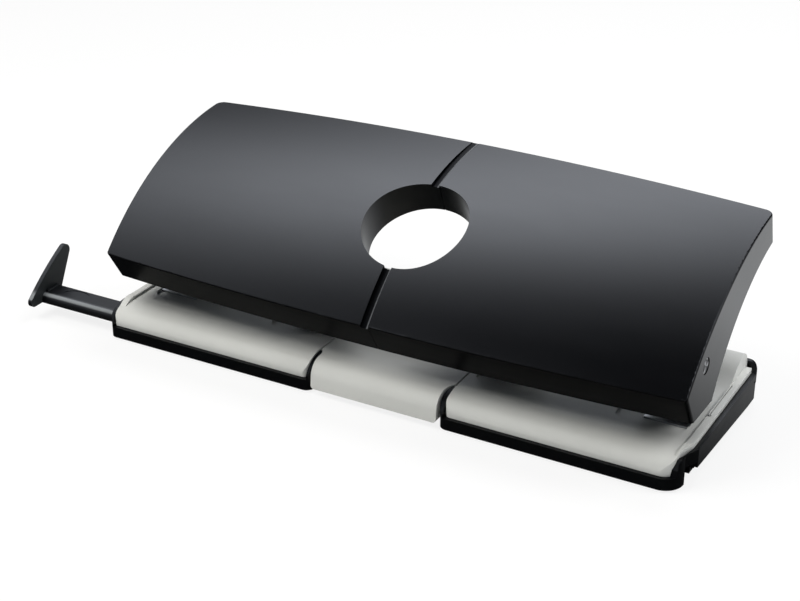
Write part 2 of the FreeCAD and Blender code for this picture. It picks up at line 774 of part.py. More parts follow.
def back_rise(plan):
    """The rim's higher part along the back wall, which comes down round the corner."""
    low = RIM_TOP_Z - OVER
    begin = BASE_BACK_Y - FRAME_CORNER
    end = BASE_BACK_Y - FRAME_WALL
    bend = BACK_RIM_CORNER * math.sqrt(0.5)
    seen_from_end = prism_x(0, MODULE_OUTER_X + OVER, (begin, low), [
        ((begin, RIM_TOP_Z),), ((end, BACK_RIM_Z),), ((BASE_BACK_Y + OVER, BACK_RIM_Z),),
        ((BASE_BACK_Y + OVER, low),)])
    rise = BACK_RIM_Z - RIM_TOP_Z
    start = (0, low)
    moves = [((0, BACK_RIM_Z),), ((MODULE_OUTER_X - BACK_RIM_CORNER, BACK_RIM_Z),),
             ((MODULE_OUTER_X - BACK_RIM_CORNER + bend, BACK_RIM_Z - rise * (1 - math.sqrt(0.5))),
              (MODULE_OUTER_X, RIM_TOP_Z)),
             ((MODULE_OUTER_X, low),)]
    seen_from_front = prism_y(begin - OVER, BASE_BACK_Y + OVER, start, moves)
    return plan.common(seen_from_end).common(seen_from_front)


def frame_plan(side):
    """The frame seen from above; its inner side follows the bridge's edge."""
    plan = half_plan(MODULE_OUTER_X, FRONT_SIDE_X[side], BASE_FRONT_Y, BASE_BACK_Y,
                     bridge_front_half() + BRIDGE_GAP,
                     (FRAME_INNER_CORNER, FRONT_CORNER[side], FRAME_CORNER), BASE_BOTTOM_Z, 40)
    start, mid, end = bridge_flare(BRIDGE_GAP)
    far = start[0] - OVER
    moves = [(start,), (mid, end), ((end[0], end[1] + OVER),), ((inner_wall_x(), end[1] + OVER),),
             ((inner_wall_x(), BASE_BACK_Y + OVER),), ((far, BASE_BACK_Y + OVER),)]
    return plan.cut(prism_z(0, 50, (far, start[1]), moves))


def shoulder(gap):
    """The line inside the front roll where frame and deck part, shifted towards the deck."""
    points = [(BASE_FRONT_Y + 3.4, FRONT_WALL_TOP_Z), (BASE_FRONT_Y + 3.8, 9.0),
              (BASE_FRONT_Y + 6.0, DECK_BOTTOM_Z - SEAT_GAP)]
    return [((y - gap, z + gap),) for y, z in points]


def inner_wall_top():
    """Everything above the frame's low walls, in the space that the deck fills."""
    start = (BASE_FRONT_Y - OVER, FRONT_WALL_TOP_Z)
    moves = shoulder(0)
    moves += [((PLATE_FRONT_Y - 0.2, DECK_BOTTOM_Z - 0.2),),
             ((PLATE_FRONT_Y - 0.2, PLATE_Z),),
             ((BASE_BACK_Y - FRAME_WALL, PLATE_Z),),
             ((BASE_BACK_Y - FRAME_WALL, 40.0),),
             ((BASE_FRONT_Y - OVER, 40.0),)]
    return start, moves


def base_frame(side):
    """A tray with walls in front, behind and towards the middle, and a rim all round."""
    outer_x = MODULE_OUTER_X
    w = FRAME_WALL
    plan = frame_plan(side)
    body = plan.common(prism_x(0, outer_x + OVER, *rim_outline(BASE_BOTTOM_Z)))
    body = fused([body, back_rise(plan)])
    hollow = half_plan(outer_x - w, FRONT_SIDE_X[side] - w, BASE_FRONT_Y + w, BASE_BACK_Y - w,
                       inner_wall_x() + w,
                       (FRAME_INNER_CORNER - w, FRONT_CORNER[side] - w, FRAME_CORNER - w),
                       BASE_BOTTOM_Z + FRAME_FLOOR, 40)
    body = body.cut(hollow)
    rim_inside = half_plan(outer_x - w, FRONT_SIDE_X[side] - w, BASE_FRONT_Y - OVER, BASE_BACK_Y - w,
                           inner_rim_x(), (0.5, 0.5, FRAME_CORNER - w), 0, 40)
    low_walls = prism_x(0, outer_x - w, *inner_wall_top())
    body = body.cut([low_walls.common(rim_inside)] + bridge_seat())
    rim_low = RIM_TOP_Z - RIM_HEIGHT
    wall_start = drawer_start(side)
    drawer_way = box(FRONT_PLATE_IN_X - 0.5, outer_x + OVER, wall_start, BASE_BACK_Y - w + 0.6,
                     0, rim_low)
    groove = box(outer_x - RIM_GROOVE_DEPTH, outer_x + OVER, wall_start, BASE_BACK_Y - FRAME_CORNER,
                 rim_low - MERGE, rim_low + RIM_GROOVE_HEIGHT)
    notch = box(outer_x - NOTCH_DEPTH, outer_x + OVER, NOTCH_FRONT_Y[side], wall_start + 0.01,
                0, NOTCH_TOP_Z)
    ledge = box(outer_x - w - LEDGE_WIDTH, outer_x - w + MERGE, PARTITION_Y, BASE_BACK_Y - w,
                rim_low, DECK_BOTTOM_Z - SEAT_GAP)
    partition = box(inner_wall_x() + w - MERGE, outer_x - w + MERGE, PARTITION_Y,
                    PARTITION_Y + PARTITION_WALL, BASE_BOTTOM_Z + MERGE, PLATE_Z)
    pillars = [rod(PILLAR_R, V(x, y, BASE_BOTTOM_Z + MERGE), V(x, y, PLATE_Z))
               for x, y in frame_screw_places()]
    body = fused([body, partition, ledge] + pillars)
    tools = [drawer_way, groove, notch]
    tools += [foot_pocket(x, y) for x, y in foot_places()]
    tools += [frame_screw(x, y, 0.05) for x, y in frame_screw_places()]
    body = cut(body, tools)
    if side < 0:
        body = fused([body] + rail_ribs())
        body = body.cut(rail_slot())
        body = mirrored(body)
    return body


def bridge_seat():
    """The space over the frame's inner wall that the bridge needs, behind its nub."""
    x0, x1 = inner_wall_x() - OVER, inner_rim_x() + 0.01
    step_y = PLATE_FRONT_Y - 0.2
    return [box(x0, x1, BRIDGE_NUB_Y - 0.2, step_y + 0.01, PLATE_Z - 0.4, 40),
            box(x0, x1, step_y, BASE_BACK_Y - FRAME_WALL, PLATE_Z, 40),
            box(x0, x1, BASE_BACK_Y - FRAME_WALL - 0.01, BASE_BACK_Y + OVER, DECK_BOTTOM_Z - 0.2, 40)]


def drawer_start(side):
    """Where the opening for the drawer's outer wall begins, behind the finger notch."""
    return NOTCH_FRONT_Y[side] + NOTCH_WIDTH


def frame_screw_places():
    """Screws from below through the frame's pillars into the base plate, of one half."""
    back = BASE_BACK_Y - FRAME_WALL - PILLAR_R - 0.5
    near = inner_wall_x() + FRAME_WALL + PILLAR_R + 1.2
    return [(near, PARTITION_Y + PARTITION_WALL + PILLAR_R + 0.6), (near, back), (124.0, back)]


def frame_screw(x, y, grow=0.0):
    low = BASE_BOTTOM_Z + 0.2
    head = rod(SCREW_HEAD_R - 0.4 + grow, V(x, y, low - grow), V(x, y, low + SCREW_HEAD))
    shank = rod(SCREW_R + grow, V(x, y, low), V(x, y, PLATE_Z + PLATE_THICK - 0.1))
    return fused([head, shank])


def frame_screws():
    screws = [frame_screw(x, y) for x, y in frame_screw_places()]
    return Part.Compound(screws + [mirrored(s) for s in screws])


def foot_places():
    """Feet of one half."""
    inset = FOOT_R + 3.0
    xs = (inner_wall_x() + 19.2, MODULE_OUTER_X - 22.0)
    ys = (BASE_FRONT_Y + inset, BASE_BACK_Y - inset)
    return [(x, y) for x in xs for y in ys]


def foot_pocket(x, y):
    top = BASE_BOTTOM_Z + FOOT_SINK
    return rod(FOOT_R + 0.05, V(x, y, BASE_BOTTOM_Z - OVER), V(x, y, top))


def rubber_feet():
    feet = []
    for x, y in foot_places():
        foot = rod(FOOT_R, V(x, y, 0), V(x, y, BASE_BOTTOM_Z + FOOT_SINK))
        feet += [foot, mirrored(foot)]
    return Part.Compound(feet)


def rail_ribs():
    """Ribs on the floor of the left half that carry the guide rail, before mirroring."""
    return [box(x, x + RIB_THICK, BASE_FRONT_Y + FRAME_WALL - MERGE, PARTITION_Y + MERGE,
                BASE_BOTTOM_Z + FRAME_FLOOR - MERGE, RAIL_BOTTOM_Z - RAIL_PLAY)
            for x in RAIL_RIBS_X]


def rail_slot():
    """The opening in the outer wall of the left half, before mirroring."""
    c = RAIL_CLEAR
    return box(MODULE_OUTER_X - NOTCH_DEPTH, MODULE_OUTER_X + OVER, RAIL_FRONT_Y - c,
               RAIL_BACK_Y + c, RAIL_BOTTOM_Z - RAIL_PLAY, RAIL_TOP_Z + c)


def base_plate():
    plate = box(-PLATE_END_X, PLATE_END_X, PLATE_FRONT_Y, PLATE_BACK_Y, PLATE_Z, PLATE_Z + PLATE_THICK)
    tools = []
    for hole_x, way in hole_places().values():
        tools.append(rod(CHIP_HOLE_R, V(hole_x, HOLE_Y, 0), V(hole_x, HOLE_Y, 20)))
        tools += [rivet(x, y, 0.02) for x, y in rivet_places(hole_x, way)]
    tools += [deck_screw(x, y, 0.1) for x, y in deck_screws()]
    for x, y in frame_screw_places():
        tools += [frame_screw(x, y, 0.02), mirrored(frame_screw(x, y, 0.02))]
    return plate.cut(tools)


def deck_screw(x, y, grow=0.0):
    """A countersunk screw, flush with the underside of the base plate."""
    low = PLATE_Z
    head = Part.makeCone(SCREW_HEAD_R + grow, SCREW_R + grow, 1.2, V(x, y, low))
    shank = rod(SCREW_R + grow, V(x, y, low), V(x, y, low + 7.0))
    return fused([head, shank])


def all_deck_screws():
    return Part.Compound([deck_screw(x, y) for x, y in deck_screws()])


# Decks and bridge

def ramp(offset):
    """The line from deck to ridge, an S of two equal arcs, this far under the surface."""
    run = RAMP_END_Y - RAMP_START_Y
    rise = RIDGE_Z - DECK_Z
    radius = (run ** 2 + rise ** 2) / (4 * rise)
    turn = math.asin(run / 2 / radius)
    low_centre = (RAMP_START_Y, DECK_Z + radius)
    high_centre = (RAMP_END_Y, RIDGE_Z - radius)
    r0 = radius + offset
    r1 = radius - offset

    def low(angle):
        return low_centre[0] + r0 * math.sin(angle), low_centre[1] - r0 * math.cos(angle)

    def high(angle):
        return high_centre[0] - r1 * math.sin(angle), high_centre[1] + r1 * math.cos(angle)

    return [(low(0),), (low(turn / 2), low(turn)), (high(turn / 2), high(0))]


def deck_outline(offset, front_y, low_z):
    """The deck seen from its end: front roll, slack curve, flat, ramp, ridge and back face."""
    k = 1 - math.sqrt(0.5)
    turn = math.radians(EASE_ANGLE)
    roll_y = front_y + ROLL_RADIUS
    roll_z = DECK_Z - EASE_RADIUS + (EASE_RADIUS - ROLL_RADIUS) * math.cos(turn)
    ease_y = roll_y + (EASE_RADIUS - ROLL_RADIUS) * math.sin(turn)
    ease_z = DECK_Z - EASE_RADIUS

    def roll(angle):
        r = ROLL_RADIUS - offset
        return roll_y - r * math.sin(angle), roll_z + r * math.cos(angle)

    def ease(angle):
        r = EASE_RADIUS - offset
        return ease_y - r * math.sin(angle), ease_z + r * math.cos(angle)

    ridge_r = DECK_BACK_Y - RAMP_END_Y - offset
    back = DECK_BACK_Y - offset
    start = (front_y + offset, low_z)
    moves = [(roll(math.pi / 2),),
             (roll((math.pi / 2 + turn) / 2), roll(turn)),
             (ease(turn / 2), ease(0))]
    moves += ramp(offset)
    moves += [((back - k * ridge_r, RIDGE_Z - offset - k * ridge_r), (back, RIDGE_Z - offset - ridge_r)),
              ((back, low_z),)]
    return start, moves


def deck_front_y():
    return BASE_FRONT_Y + FRONT_SETBACK


def deck_plan(side, z0, z1):
    """The deck's outline from above, a gap inside the frame's rim."""
    inset = FRAME_WALL + DECK_GAP
    return half_plan(MODULE_OUTER_X - inset, FRONT_SIDE_X[side] - inset, deck_front_y(), DECK_BACK_Y,
                     inner_rim_x() + SEAT_GAP,
                     (DECK_INNER_CORNER, FRONT_CORNER[side] - inset, FRAME_CORNER - FRAME_WALL), z0, z1)


def deck_body(side, x0, x1):
    return deck_plan(side, 0, 40).common(prism_x(x0 - OVER, x1 + OVER, *deck_outline(
        0, deck_front_y(), FRONT_WALL_TOP_Z + SEAT_GAP)))


def deck_underside(side, x0, x1):
    """What is taken away below the deck: its hollow and the space over the frame's walls."""
    hollow = prism_x(x0 + SKIN, x1 - SKIN, *deck_outline(SKIN, deck_front_y(), 0))
    inset = FRAME_WALL + DECK_GAP + SKIN
    corner = max(FRONT_CORNER[side] - inset, 0.5)
    hollow = hollow.common(half_plan(x1 - SKIN, FRONT_SIDE_X[side] - inset, deck_front_y() + SKIN,
                                     DECK_BACK_Y, x0 + SKIN, (1.5, corner, 1.5), -OVER, 40))
    line = shoulder(SEAT_GAP)
    start = (line[0][0][0], 0)
    moves = line + [((DECK_BACK_Y + OVER, DECK_BOTTOM_Z),), ((DECK_BACK_Y + OVER, 0),)]
    low = prism_x(x0 - OVER, x1 + OVER, start, moves)
    return hollow, low


def dish_span(hole_x, way):
    ends = (hole_x - way * DISH_OVERHANG, hole_x + way * (DISH_LENGTH - DISH_OVERHANG))
    return min(ends), max(ends)


def deck_cover(side):
    """The paper rest: front roll, dishes at the stations, ramp, ridge and a raised border."""
    x0 = inner_rim_x() + SEAT_GAP
    x1 = MODULE_OUTER_X - FRAME_WALL - DECK_GAP
    body = deck_body(side, x0, x1)
    body = body.cut(ramp_end_cut(x1))
    body = fused([body, border(side, x1)])
    hollow, low = deck_underside(side, x0, x1)
    hollow = hollow.cut(ramp_end_cut(x1, SKIN))
    body = body.cut([hollow, low])
    places = [(x, y) for x, y in deck_screws() if x0 < x < x1]
    bosses = [rod(BOSS_R, V(x, y, PLATE_Z + PLATE_THICK), V(x, y, RIDGE_Z - SKIN))
              .common(deck_body(side, x0, x1)) for x, y in places]
    pads = []
    tools = [deck_screw(x, y, 0.05) for x, y in places]
    for hole_x, way in half_holes():
        d0, d1 = dish_span(hole_x, way)
        edge = DISH_PAD_EDGE
        pads.append(box(max(d0 - edge, x0), d1 + edge, DISH_FRONT_Y - edge, DISH_BACK_Y + edge,
                        DECK_BOTTOM_Z, DECK_Z - DISH_PAD))
        tools.append(rounded_plan(d0, d1, DISH_FRONT_Y, DISH_BACK_Y, DECK_Z - DISH_DEPTH, DECK_Z + 3,
                                  DISH_CORNER, DISH_CORNER, 2, 2))
        j0, j1 = jaw_span(hole_x, way)
        tools.append(box(j0 - 0.3, j1 + 0.3, JAW_FRONT_Y - 0.3, stop_y() + SHEET + 0.3, 0, 30))
    body = fused([body] + bosses + pads)
    slit_x = x1 - BORDER_WIDTH + 0.4
    tools.append(box(slit_x, slit_x + SLIT_WIDTH, SLIT_START_Y, SLIT_START_Y + SLIT_LENGTH,
                     DECK_Z + BORDER_HEIGHT - SLIT_DEPTH, DECK_Z + BORDER_HEIGHT + OVER))
    tools.append(rod(0.9, V(slit_x + 0.25, SLIT_START_Y, DECK_Z + BORDER_HEIGHT - 1.4),
                     V(slit_x + 0.25, SLIT_START_Y, DECK_Z + BORDER_HEIGHT + OVER)))
    body = body.cut(tools)
    if side < 0:
        body = fused([body.cut(rail_slot())] + rail_keepers())
        body = mirrored(body)
    return body


def ramp_end_cut(x1, inset=0.0):
    """The wedge taken off the ramp's outer end: upright in front, leaning inwards at the back."""
    low = DECK_Z - inset
    high = RIDGE_Z + 5
    lean = (high - low) / RAMP_SIDE_SLOPE
    rings = []
    for y, foot_x, top_x in ((RAMP_START_Y - 8, RAMP_SIDE_FRONT_X, RAMP_SIDE_FRONT_X),
                             (DECK_BACK_Y + OVER, RAMP_SIDE_BACK_X, RAMP_SIDE_BACK_X - lean)):
        ring = [V(foot_x - inset, y, low), V(x1 + 9, y, low), V(x1 + 9, y, high), V(top_x - inset, y, high)]
        rings.append(Part.makePolygon(ring + ring[:1]))
    return Part.makeLoft(rings, True, True)


def border(side, x1):
    """The raised strip along the deck's outer edge, which dies out over the front roll."""
    top = DECK_Z + BORDER_HEIGHT
    front = deck_front_y() + 6.5
    start = (front - 3.6, DECK_Z - 3.6)
    moves = [((front - 0.6, DECK_Z - 0.1), (front + 6.0, top)),
             ((DECK_BACK_Y - 3.0, top),),
             ((DECK_BACK_Y - 0.9, top - 0.9), (DECK_BACK_Y, top - 3.0)),
             ((DECK_BACK_Y, DECK_BOTTOM_Z),),
             ((front - 3.6, DECK_BOTTOM_Z - 2.0),)]
    strip = prism_x(x1 - BORDER_WIDTH - 4, x1, start, moves)
    inset = FRAME_WALL + DECK_GAP + BORDER_WIDTH
    inside = half_plan(x1 - BORDER_WIDTH, FRONT_SIDE_X[side] - inset, deck_front_y() - 9,
                       DECK_BACK_Y + 9, inner_wall_x(), (1, 1, 1), 0, 40)
    return strip.common(deck_plan(side, 0, 40)).cut(inside)


def rail_keepers():
    """Ribs under the left deck that keep the rail down, before mirroring."""
    return [box(x, x + RIB_THICK, RAIL_FRONT_Y + RAIL_ROUND, RAIL_BACK_Y - RIB_THICK,
                RAIL_TOP_Z + RAIL_CLEAR, DECK_Z - SKIN / 2) for x in RAIL_KEEPERS_X]


def bridge_outline(offset, low_z):
    """The bridge seen from its end: a leaning front wall, a round front roll, then as the deck."""
    front = BRIDGE_FRONT_Y + offset
    k = 1 - math.sqrt(0.5)
    r = BRIDGE_ROLL - offset
    roll_y = BRIDGE_FRONT_Y + BRIDGE_LEAN + BRIDGE_ROLL
    roll_z = DECK_Z - BRIDGE_ROLL
    moves = [((roll_y - r, roll_z),),
             ((roll_y - r + k * r, roll_z + r - k * r), (roll_y, roll_z + r))]
    return (front, low_z), moves + deck_outline(offset, deck_front_y(), low_z)[1][3:]


def centre_bridge():
    """The middle cover: rolled over in front down towards the table, the same ramp behind."""
    body = prism_x(-BRIDGE_HALF, BRIDGE_HALF, *bridge_outline(0, BRIDGE_BOTTOM_Z))
    waist = []
    for sign in (1, -1):
        start, mid, end = ((sign * x, y) for x, y in bridge_flare(0))
        far = sign * (BRIDGE_HALF + OVER)
        moves = [((far, BASE_FRONT_Y - 9),), ((far, end[1]),), (end,), (mid, start)]
        waist.append(prism_z(-OVER, 30, (start[0], BASE_FRONT_Y - 9), moves))
    body = body.cut(waist)
    front_half = bridge_front_half()
    body = round_edges(body, BRIDGE_CORNER, lambda e: abs(edge_mid(e).z - BRIDGE_BOTTOM_Z) < 0.01
                       and abs(edge_mid(e).x) > front_half - 0.1 and edge_mid(e).y < BRIDGE_NUB_Y)
    wall_x = front_half - 2 * SKIN
    hollow = prism_x(-wall_x, wall_x, *bridge_outline(SKIN, 0))
    low = box(-BRIDGE_HALF - OVER, BRIDGE_HALF + OVER, PLATE_FRONT_Y - 0.3, DECK_BACK_Y + OVER,
              0, PLATE_Z + PLATE_THICK)
    under = box(-BRIDGE_HALF - OVER, BRIDGE_HALF + OVER, BRIDGE_NUB_Y, PLATE_FRONT_Y, 0, PLATE_Z - 0.2)
    lap = inner_wall_x() - SEAT_GAP
    side = box(lap, BRIDGE_HALF + OVER, BASE_BACK_Y - FRAME_WALL - 0.3, DECK_BACK_Y + OVER, 0, DECK_BOTTOM_Z)
    jaws = []
    for hole_x, way in half_holes():
        j0, j1 = jaw_span(hole_x, way)
        jaws.append(box(j0 - 0.3, j1 + 0.3, JAW_FRONT_Y - 0.3, stop_y() + SHEET + 0.3, 0, 30))
    sides = [side, mirrored(side)] + jaws + [mirrored(jaw) for jaw in jaws]
    body = body.cut([hollow, low, under] + sides)
    places = [(x, y) for x, y in deck_screws() if abs(x) < BRIDGE_HALF]
    bosses = [rod(BOSS_R, V(x, y, PLATE_Z + PLATE_THICK), V(x, y, 19)) for x, y in places]
    body = fused([body] + bosses)
    return body.cut([deck_screw(x, y, 0.05) for x, y in places])


# Drawer and guide rail

def chip_drawer(side):
    """A tray for the chips, whose outer wall is part of the base's side."""
    w = DRAWER_WALL
    x1 = FRONT_PLATE_IN_X + 0.5
    tray_y = max(drawer_start(side), PARTITION_Y + PARTITION_WALL) + DRAWER_CLEAR
    x0 = inner_wall_x() + DRAWER_INSET
    tray = box(x0, x1, tray_y, DRAWER_BACK_Y, DRAWER_FLOOR_Z, DRAWER_TOP_Z)
    inside = box(x0 + w, FRONT_PLATE_IN_X - 0.4, tray_y + w, DRAWER_BACK_Y - w,
                 DRAWER_FLOOR_Z + w, DRAWER_TOP_Z + OVER)
    step_y = PARTITION_Y + PARTITION_WALL + TRAY_STEP_Y
    if step_y > tray_y:
        corner = box(x0 - OVER, x0 + TRAY_STEP_X, tray_y - OVER, step_y, 0, DRAWER_TOP_Z + 2 * OVER)
        inner_corner = box(x0 - OVER, x0 + TRAY_STEP_X + w, tray_y - OVER, step_y + w, 0,
                           DRAWER_TOP_Z + 2 * OVER)
        inside = inside.cut(inner_corner)
        tray = tray.cut(corner)
    tray = tray.cut(inside)
    front_y = drawer_start(side) + 0.2
    back_y = BASE_BACK_Y - FRAME_WALL + 0.4
    top = RIM_TOP_Z - RIM_HEIGHT - 0.2
    low = FRONT_PLATE_LOW_Z
    rise = FRONT_PLATE_RISE
    plate = prism_x(FRONT_PLATE_IN_X, FRONT_PLATE_OUT_X, (front_y, low + rise),
                    [((front_y, top),), ((back_y, top),), ((back_y, low),), ((back_y - 8, low),)])
    return_tray = fused([tray, plate])
    return return_tray if side > 0 else mirrored(return_tray)


def guide_rail():
    """The paper guide: a bar with a rounded front and an upright stop at its outer end."""
    k = 1 - math.sqrt(0.5)
    r = RAIL_ROUND
    start = (RAIL_FRONT_Y, RAIL_BOTTOM_Z)
    moves = [((RAIL_FRONT_Y, RAIL_TOP_Z - r),),
             ((RAIL_FRONT_Y + k * r, RAIL_TOP_Z - k * r), (RAIL_FRONT_Y + r, RAIL_TOP_Z)),
             ((RAIL_BACK_Y, RAIL_TOP_Z),),
             ((RAIL_BACK_Y, RAIL_BOTTOM_Z),)]
    bar = prism_x(STOP_X - 0.5, RAIL_END_X, start, moves)
    plate_start = (-25.6, 9.0)
    plate_moves = [((-18.3, 23.4),), ((-19.0, 26.5), (-22.6, 27.2)),
                   ((-34.6, 19.5), (-46.5, 10.0)),
                   ((-47.1, 7.8), (-44.8, RAIL_BOTTOM_Z)),
                   ((-27.4, RAIL_BOTTOM_Z),)]
    plate = prism_x(STOP_X - STOP_THICK, STOP_X, plate_start, plate_moves)
    fold = rod(FOLD_R, V(STOP_X + FOLD_R, RAIL_FRONT_Y + r, RAIL_TOP_Z - 0.1),
               V(STOP_X + FOLD_R, RAIL_BACK_Y, RAIL_TOP_Z - 0.1))
    mark = Part.Ellipse(V(MARK_X, (RAIL_FRONT_Y + RAIL_BACK_Y) / 2 + 1.2, RAIL_TOP_Z - MARK_DEPTH),
                        *MARK_RADII)
    oval = Part.Face(Part.Wire([mark.toShape()])).extrude(V(0, 0, OVER))
    return fused([bar, plate, fold]).cut(oval)


def build():
    """All pieces by name, still set out from the middle of the base."""
    pieces = {}
    names = {1: "right", -1: "left"}
    for side in (-1, 1):
        name = names[side]
        pieces["base_frame_" + name] = base_frame(side)
        pieces["deck_cover_" + name] = deck_cover(side)
        pieces["chip_drawer_" + name] = chip_drawer(side)
        pieces["handle_shell_" + name] = handle_shell(side)
        turn = (lambda s: s) if side > 0 else mirrored
        pieces["pivot_axle_" + name] = turn(axle())
        pieces["presser_rod_" + name] = turn(presser_rod())
    pieces["centre_bridge"] = centre_bridge()
    pieces["base_plate"] = base_plate()
    pieces["lever_plate"] = lever_plate()
    pieces["axle_lock_rings"] = lock_rings()
    pieces["shell_screws"] = shell_screws()
    pieces["bracket_rivets"] = rivets()
    pieces["deck_screws"] = all_deck_screws()
    pieces["frame_screws"] = frame_screws()
    pieces["rubber_feet"] = rubber_feet()
    pieces["paper_guide_rail"] = guide_rail()
    for number, (hole_x, way) in hole_places().items():
        pieces["punch_bracket_" + number] = bracket(hole_x, way)
        pieces["punch_pin_" + number] = punch_pin(hole_x)
        pieces["return_spring_" + number] = coil_spring(hole_x)
    return pieces


def save_all(pieces):
    """Move the origin under the middle of the whole outline and write each piece."""
    os.makedirs("parts", exist_ok=True)
    outline = Part.Compound(list(pieces.values())).optimalBoundingBox()
    shift = V(-round(outline.Center.x, 2), -round(outline.Center.y, 2), 0)
    print("shift to the middle of the outline", shift)
    for name, shape in pieces.items():
        shape.translate(shift)
        save(name, shape)
    print("least gap between turns of a spring %.2f mm" % coil_gap())


save_all(build())
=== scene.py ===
import json
import math

import bpy
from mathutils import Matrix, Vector


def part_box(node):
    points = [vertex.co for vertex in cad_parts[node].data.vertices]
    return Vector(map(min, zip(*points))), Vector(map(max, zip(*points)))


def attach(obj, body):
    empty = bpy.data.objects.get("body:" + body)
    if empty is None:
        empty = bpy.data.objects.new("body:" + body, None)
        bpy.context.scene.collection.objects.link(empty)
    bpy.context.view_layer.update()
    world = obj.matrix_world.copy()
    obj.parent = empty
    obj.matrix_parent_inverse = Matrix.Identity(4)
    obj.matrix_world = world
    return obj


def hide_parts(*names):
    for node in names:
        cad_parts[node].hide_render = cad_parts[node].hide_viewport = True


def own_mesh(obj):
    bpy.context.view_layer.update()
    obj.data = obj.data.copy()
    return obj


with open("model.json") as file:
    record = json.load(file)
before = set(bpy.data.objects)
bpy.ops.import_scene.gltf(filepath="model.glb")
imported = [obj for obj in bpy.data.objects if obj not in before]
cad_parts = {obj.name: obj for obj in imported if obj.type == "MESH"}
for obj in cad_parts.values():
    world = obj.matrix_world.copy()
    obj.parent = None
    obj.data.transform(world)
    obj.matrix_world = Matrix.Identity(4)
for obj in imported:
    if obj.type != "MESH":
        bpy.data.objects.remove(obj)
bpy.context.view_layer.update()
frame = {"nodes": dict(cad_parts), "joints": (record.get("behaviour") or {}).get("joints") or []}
nodes = frame["nodes"]
joints = {joint["name"]: joint for joint in frame["joints"]}

# The middle of the base in the row frame; lengths are in metres
BASE_MIDDLE = Vector((0.02135, -0.00398, 0.0))

# The view of the photograph, from the middle of the base; angles in degrees, sensor in millimetres
CAMERA_PLACE = Vector((0.2984, -0.5558, 0.3446))
CAMERA_AZIMUTH = 29.12
CAMERA_ELEVATION = 26.37
FOCAL_PIXELS = 1673.0
IMAGE_WIDTH = 800
SENSOR = 36.0

# Handle: its crown is laid out from the front crease, along a tilted chord and square to it
CREASE = Vector((0.0, -0.0435, 0.0415)) + BASE_MIDDLE
CHORD_TILT = math.radians(25.0)
ALONG = Vector((0.0, math.cos(CHORD_TILT), math.sin(CHORD_TILT)))
OUT = Vector((0.0, -math.sin(CHORD_TILT), math.cos(CHORD_TILT)))
CHORD = 0.0987
HALF_LENGTH = (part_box("handle_shell_right")[1].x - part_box("handle_shell_left")[0].x) / 2
BOW_FRONT = 0.0033          # how far the front edge bows out in the middle
BOW_BACK = 0.0052           # and the back edge
CROWN = 0.0114              # height of the crown in the middle of the handle
CROWN_DROP = 0.0018         # how much lower it is at the ends
BEVEL_DEPTH = 0.0045        # bevel under the front crease, along the chord
SEAM_WIDTH = 0.0037
LIP_HIGHLIGHT_X = -0.00095            # painted highlight: the light line of the lip on the seam's floor
LIP_HIGHLIGHT_HALF_WIDTH = 0.00028
FINGER_T = 0.0447           # middle of the finger hole along the chord
FINGER_R = 0.0227
PIVOT = Vector(joints["handle_press"]["pos_m"])

# Paper guide
FOLD_HIGHLIGHT_LOW = 0.0115     # the guide's rounded front fold lies below these heights; its painted highlight fades out between them
FOLD_HIGHLIGHT_HIGH = 0.0135

# How a face of a handle shell is told from its neighbours
CROWN_NEAR = 0.00008        # a corner this near the crown's curve lies on it
SKIN_NEAR = 0.0012          # and a face's middle, where the face is wide
HOLE_NEAR = 0.0006          # a face this near the finger hole's radius is its wall
SEAM_OVER = 0.0004          # how far the seam's floor reaches past the middle
SEAM_TOP = 0.0003           # the seam's walls and floor lie this deep under the crown
SEAM_FLOOR = 0.0026         # and no deeper
END_WALL = 0.004            # end faces lie this near the handle's ends
CREASE_ROUND = 0.0008       # the bevel begins this far under the crease
BACK_EDGE = 0.003           # faces from here back belong to the outside

# Grain and clouding of the materials
PLASTIC_CLOUD = 38.0
PLASTIC_WIPE = 22.0
PLASTIC_WIPE_STRETCH = (1.0, 3.0, 3.0)
PLASTIC_GRAIN_HEIGHT = 0.0001
STEEL_CLOUD = 60.0
STEEL_LINE = 260.0
STEEL_LINE_STRETCH = (1.0, 14.0, 14.0)
STEEL_LINE_HEIGHT = 0.00005
STEEL_LINE_STRENGTH = 0.25
SPOKES = 3.0

# Studio
FLOOR_HALF = 4.0
FLOOR_GLOW = 0.84           # share of plain white in the floor as it is seen
FLOOR_SHEEN = (0.04, 0.9)   # what a mirrored surface sees of the floor, before and behind the object
FLOOR_SHEEN_Y = (-0.03, 0.11)
AMBIENT = 0.115             # plain light from all round, for matt surfaces
SOFT_BOX = 4.3              # brightness of the soft boxes, for mirrored surfaces
BOX_SLANT = -0.29           # how the soft boxes lean
BOX_LINE = (-0.51, 0.175)   # middle and width across their length
BOX_REACH = (0.287, 0.62)   # and along it
FRONT_STRIP = 2.6           # brightness of the strip that the rounded front edges mirror
STRIP_X = (-0.4, 0.09)
STRIP_Y = (-0.8, 0.13)
HORIZON_FADE = 0.2          # both fade out below this height


def add_camera():
    data = bpy.data.cameras.new("camera")
    data.sensor_fit = "HORIZONTAL"
    data.sensor_width = SENSOR
    data.lens = FOCAL_PIXELS * SENSOR / IMAGE_WIDTH
    data.clip_start = 0.01
    camera = bpy.data.objects.new("camera", data)
    camera.location = CAMERA_PLACE + BASE_MIDDLE
    camera.rotation_euler = (math.radians(90 - CAMERA_ELEVATION), 0, math.radians(CAMERA_AZIMUTH))
    bpy.context.scene.collection.objects.link(camera)
    bpy.context.scene.camera = camera


# Node trees

